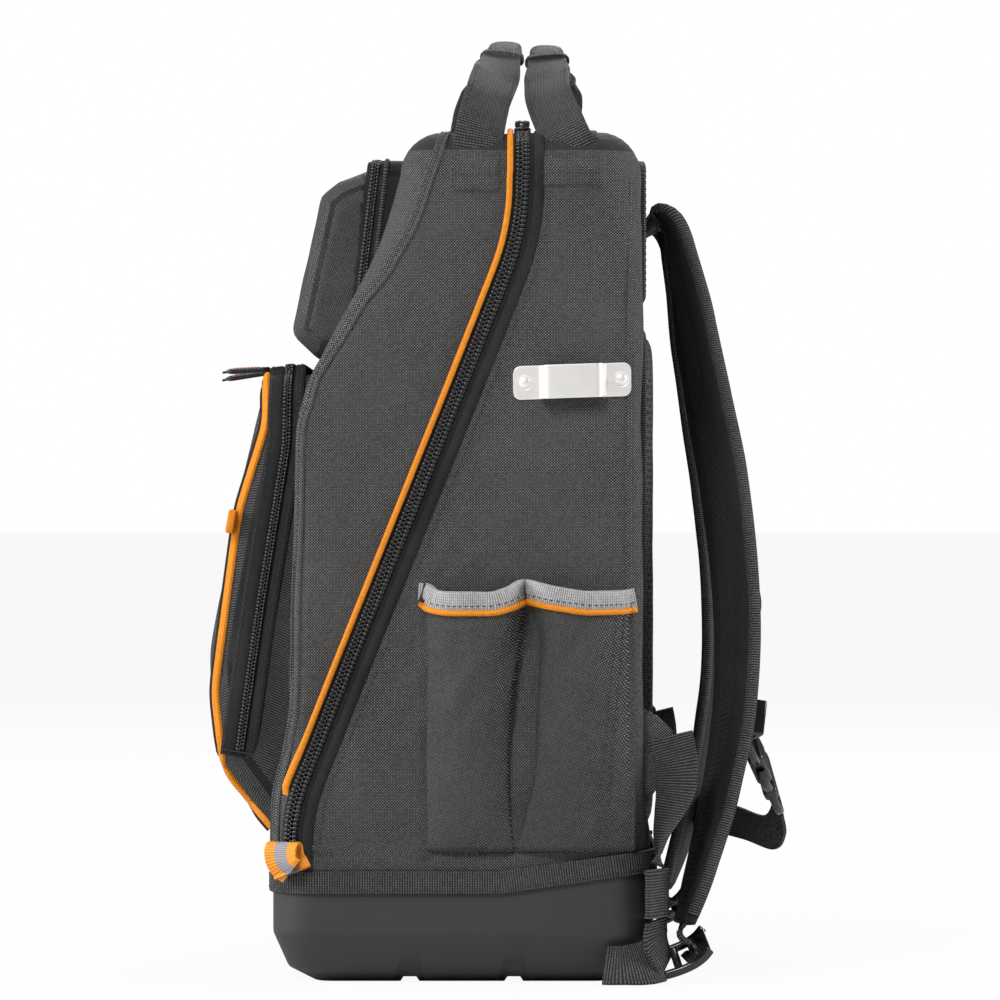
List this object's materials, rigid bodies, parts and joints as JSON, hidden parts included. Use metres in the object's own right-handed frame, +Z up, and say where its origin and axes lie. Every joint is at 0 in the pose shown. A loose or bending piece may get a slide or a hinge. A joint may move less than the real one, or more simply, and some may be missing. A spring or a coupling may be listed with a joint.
{
  "type": "tool backpack",
  "caption": "Upright cloth tool backpack on a moulded base, with front and side pockets, a diagonal zip, carry handles and padded shoulder straps.",
  "frame": {"origin": "middle of the flat underside of the moulded base", "axes": "+Z up, -Y the outer front with the pockets, +Y towards the wearer, +X the wearer's right"},
  "size_m": [0.388, 0.31, 0.502],
  "materials": {
    "nylon": "heavy woven nylon, dull with a slight sheen",
    "moulded_panel": "woven nylon over moulded foam",
    "mesh": "open spacer mesh over foam",
    "webbing": "ribbed polyester webbing",
    "base_rubber": "moulded, satin, fine grain",
    "zip": "coil zip on woven tape",
    "orange_trim": "woven edge trim",
    "grey_tape": "ribbed reflective grey tape",
    "steel": "brushed",
    "buckle": "moulded acetal, semi-gloss"
  },
  "bodies": {
    "root": {"base_tub": "base_rubber", "base_binding": "webbing", "front_shell": "nylon", "rear_shell": "nylon", "main_zip": "zip", "main_zip_piping": "orange_trim", "main_zip_welt": "nylon", "main_slider_outer": "buckle", "main_slider_inner": "buckle", "hard_pocket_shell": "moulded_panel", "hard_pocket_zip": "zip", "hard_pocket_gusset": "nylon", "lower_pocket_front": "nylon", "lower_pocket_zip": "zip", "lower_pocket_gusset": "nylon", "lower_pocket_piping": "orange_trim", "pocket_flag": "orange_trim", "pocket_slider_right": "buckle", "pocket_slider_left": "buckle", "tape_clip": "steel", "clip_rivet_front": "steel", "clip_rivet_rear": "steel", "handle_front": "webbing", "handle_rear": "webbing", "back_pad": "mesh", "yoke": "nylon", "chest_buckle": "buckle", "chest_web": "webbing", "chest_slider_right": "buckle", "chest_slider_left": "buckle", "slip_pocket_right": "nylon", "slip_pocket_left": "nylon", "slip_piping_right": "orange_trim", "slip_piping_left": "orange_trim", "slip_binding_right": "grey_tape", "slip_binding_left": "grey_tape", "shoulder_strap_right": "mesh", "shoulder_strap_left": "mesh", "strap_loop_right": "webbing", "strap_loop_left": "webbing", "ladder_lock_right": "buckle", "ladder_lock_left": "buckle", "lower_web_right": "webbing", "lower_web_left": "webbing", "web_keeper_right": "webbing", "web_keeper_left": "webbing", "web_tail_right": "webbing", "web_tail_left": "webbing", "strap_wing_right": "nylon", "strap_wing_left": "nylon", "tab_loop_right": "orange_trim", "tab_loop_left": "orange_trim"}
  },
  "joints": []
}
